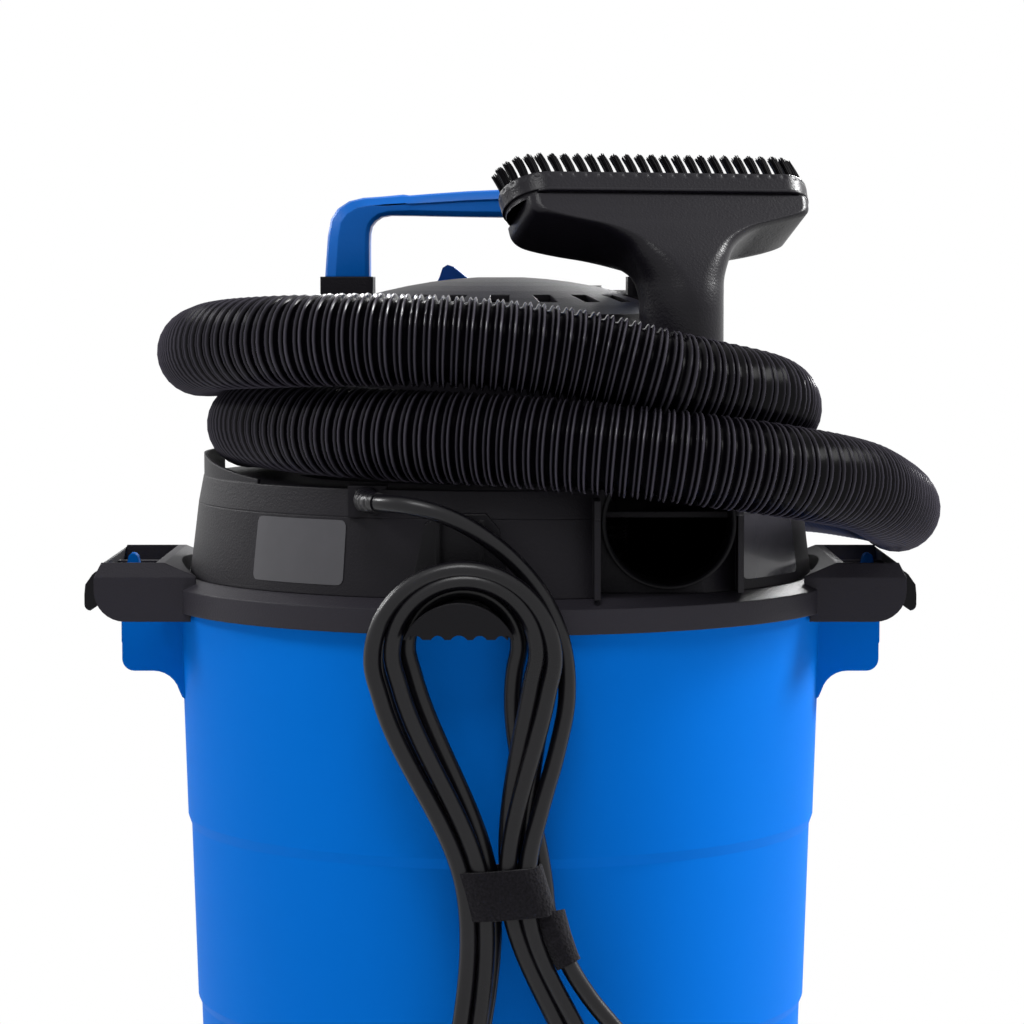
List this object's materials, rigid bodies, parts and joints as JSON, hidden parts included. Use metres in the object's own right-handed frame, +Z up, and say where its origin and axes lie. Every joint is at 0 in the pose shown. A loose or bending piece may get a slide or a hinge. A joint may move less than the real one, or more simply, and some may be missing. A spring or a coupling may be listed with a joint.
{
  "type": "shop vacuum",
  "caption": "Drum-type wet and dry vacuum on swivel casters, with latched power head, wound hose, utility nozzle and hanked mains lead.",
  "frame": {"origin": "on the floor under the drum axis, midway between the casters", "axes": "+Z up, +Y towards the inlet and hose elbow, -Y towards the blower port, lead and hook, +X and -X across the two lid ears"},
  "size_m": [0.4244, 0.4315, 0.5859],
  "materials": {
    "blue_plastic": "satin blow-moulded polyethylene with a faint grain",
    "dark_plastic": "dark grey injection-moulded plastic with a fine spark texture",
    "black_plastic": "black moulded plastic with a fine grain",
    "hose_plastic": "glossy black corrugated plastic",
    "lead_rubber": "smooth black lead sheath, slightly shiny",
    "seal_rubber": "soft black rubber",
    "wheel_plastic": "hard black nylon, scuffed on the tread",
    "steel": "zinc-plated steel",
    "impeller_metal": "pressed aluminium",
    "cast_metal": "die-cast aluminium, as cast",
    "copper_winding": "varnished copper windings on laminated steel",
    "carbon": "carbon brushes in moulded holders",
    "float_plastic": "white hollow plastic ball",
    "filter_paper": "pleated filter paper with moulded end caps",
    "bristle": "black nylon bristles",
    "strap_fabric": "black woven hook-and-loop strap"
  },
  "bodies": {
    "drum_unit": {"drum": "blue_plastic", "caster_sockets": "dark_plastic"},
    "head": {"lid": "dark_plastic", "lid_gasket": "seal_rubber", "lower_housing": "dark_plastic", "hose_tray": "dark_plastic", "motor_cover": "dark_plastic", "carry_handle": "blue_plastic", "blower_port": "black_plastic", "inlet_port": "dark_plastic", "cord_hook": "black_plastic", "lead_gland": "lead_rubber", "housing_screws": "steel", "latch_pins": "steel", "switch_body": "black_plastic", "fan_housing": "steel", "motor_seals": "seal_rubber", "motor_frame": "cast_metal", "motor_bearings": "steel", "stator": "copper_winding", "carbon_brushes": "carbon", "filter_cage": "black_plastic", "hose": "hose_plastic", "hose_elbow": "black_plastic", "hose_cuff": "black_plastic", "lead": "lead_rubber", "lead_hank": "lead_rubber", "hank_strap": "strap_fabric", "plug": "lead_rubber"},
    "latch_left": {"latch_left": "black_plastic"},
    "latch_right": {"latch_right": "black_plastic"},
    "switch": {"switch_rocker": "blue_plastic"},
    "rotor": {"impeller": "impeller_metal", "armature": "copper_winding", "motor_shaft": "steel"},
    "float": {"float_ball": "float_plastic"},
    "filter": {"cartridge_filter": "filter_paper", "filter_retainer": "dark_plastic"},
    "nozzle": {"nozzle": "black_plastic", "brush_frame": "black_plastic", "brush_bristles": "bristle"},
    "caster_1": {"caster_fork_1": "dark_plastic", "caster_pins_1": "steel"},
    "wheel_1": {"caster_wheel_1": "wheel_plastic"},
    "caster_2": {"caster_fork_2": "dark_plastic", "caster_pins_2": "steel"},
    "wheel_2": {"caster_wheel_2": "wheel_plastic"},
    "caster_3": {"caster_fork_3": "dark_plastic", "caster_pins_3": "steel"},
    "wheel_3": {"caster_wheel_3": "wheel_plastic"},
    "caster_4": {"caster_fork_4": "dark_plastic", "caster_pins_4": "steel"},
    "wheel_4": {"caster_wheel_4": "wheel_plastic"}
  },
  "joints": [
    {"name": "head_lift", "type": "slide", "parent": "drum_unit", "child": "head", "axis": [0, 0, 1], "range_m": [0, 0.25]},
    {"name": "caster_swivel_1", "type": "hinge", "parent": "drum_unit", "child": "caster_1", "pos_m": [0.086, 0.086, 0.044], "axis": [0, 0, 1], "continuous": true},
    {"name": "wheel_roll_1", "type": "hinge", "parent": "caster_1", "child": "wheel_1", "pos_m": [0.086, 0.073, 0.019], "axis": [1, 0, 0], "continuous": true},
    {"name": "caster_swivel_2", "type": "hinge", "parent": "drum_unit", "child": "caster_2", "pos_m": [-0.086, 0.086, 0.044], "axis": [0, 0, 1], "continuous": true},
    {"name": "wheel_roll_2", "type": "hinge", "parent": "caster_2", "child": "wheel_2", "pos_m": [-0.086, 0.073, 0.019], "axis": [1, 0, 0], "continuous": true},
    {"name": "caster_swivel_3", "type": "hinge", "parent": "drum_unit", "child": "caster_3", "pos_m": [-0.086, -0.086, 0.044], "axis": [0, 0, 1], "continuous": true},
    {"name": "wheel_roll_3", "type": "hinge", "parent": "caster_3", "child": "wheel_3", "pos_m": [-0.086, -0.099, 0.019], "axis": [1, 0, 0], "continuous": true},
    {"name": "caster_swivel_4", "type": "hinge", "parent": "drum_unit", "child": "caster_4", "pos_m": [0.086, -0.086, 0.044], "axis": [0, 0, 1], "continuous": true},
    {"name": "wheel_roll_4", "type": "hinge", "parent": "caster_4", "child": "wheel_4", "pos_m": [0.086, -0.099, 0.019], "axis": [1, 0, 0], "continuous": true},
    {"name": "latch_right_open", "type": "hinge", "parent": "head", "child": "latch_right", "pos_m": [0.1975, 0, 0.377], "axis": [0, -1, 0], "range_deg": [0, 30]},
    {"name": "latch_left_open", "type": "hinge", "parent": "head", "child": "latch_left", "pos_m": [-0.1975, 0, 0.377], "axis": [0, 1, 0], "range_deg": [0, 30]},
    {"name": "switch_rock", "type": "hinge", "parent": "head", "child": "switch", "pos_m": [-0.018, 0.045, 0.5201], "axis": [0, -1, 0], "range_deg": [0, 13]},
    {"name": "rotor_spin", "type": "hinge", "parent": "head", "child": "rotor", "pos_m": [0, 0, 0.45], "axis": [0, 0, 1], "continuous": true},
    {"name": "float_rise", "type": "slide", "parent": "head", "child": "float", "axis": [0, 0, 1], "range_m": [0, 0.05]},
    {"name": "filter_slide", "type": "slide", "parent": "head", "child": "filter", "axis": [0, 0, -1], "range_m": [0, 0.13]},
    {"name": "nozzle_lift", "type": "slide", "parent": "head", "child": "nozzle", "axis": [0, 0, 1], "range_m": [0, 0.1]}
  ]
}
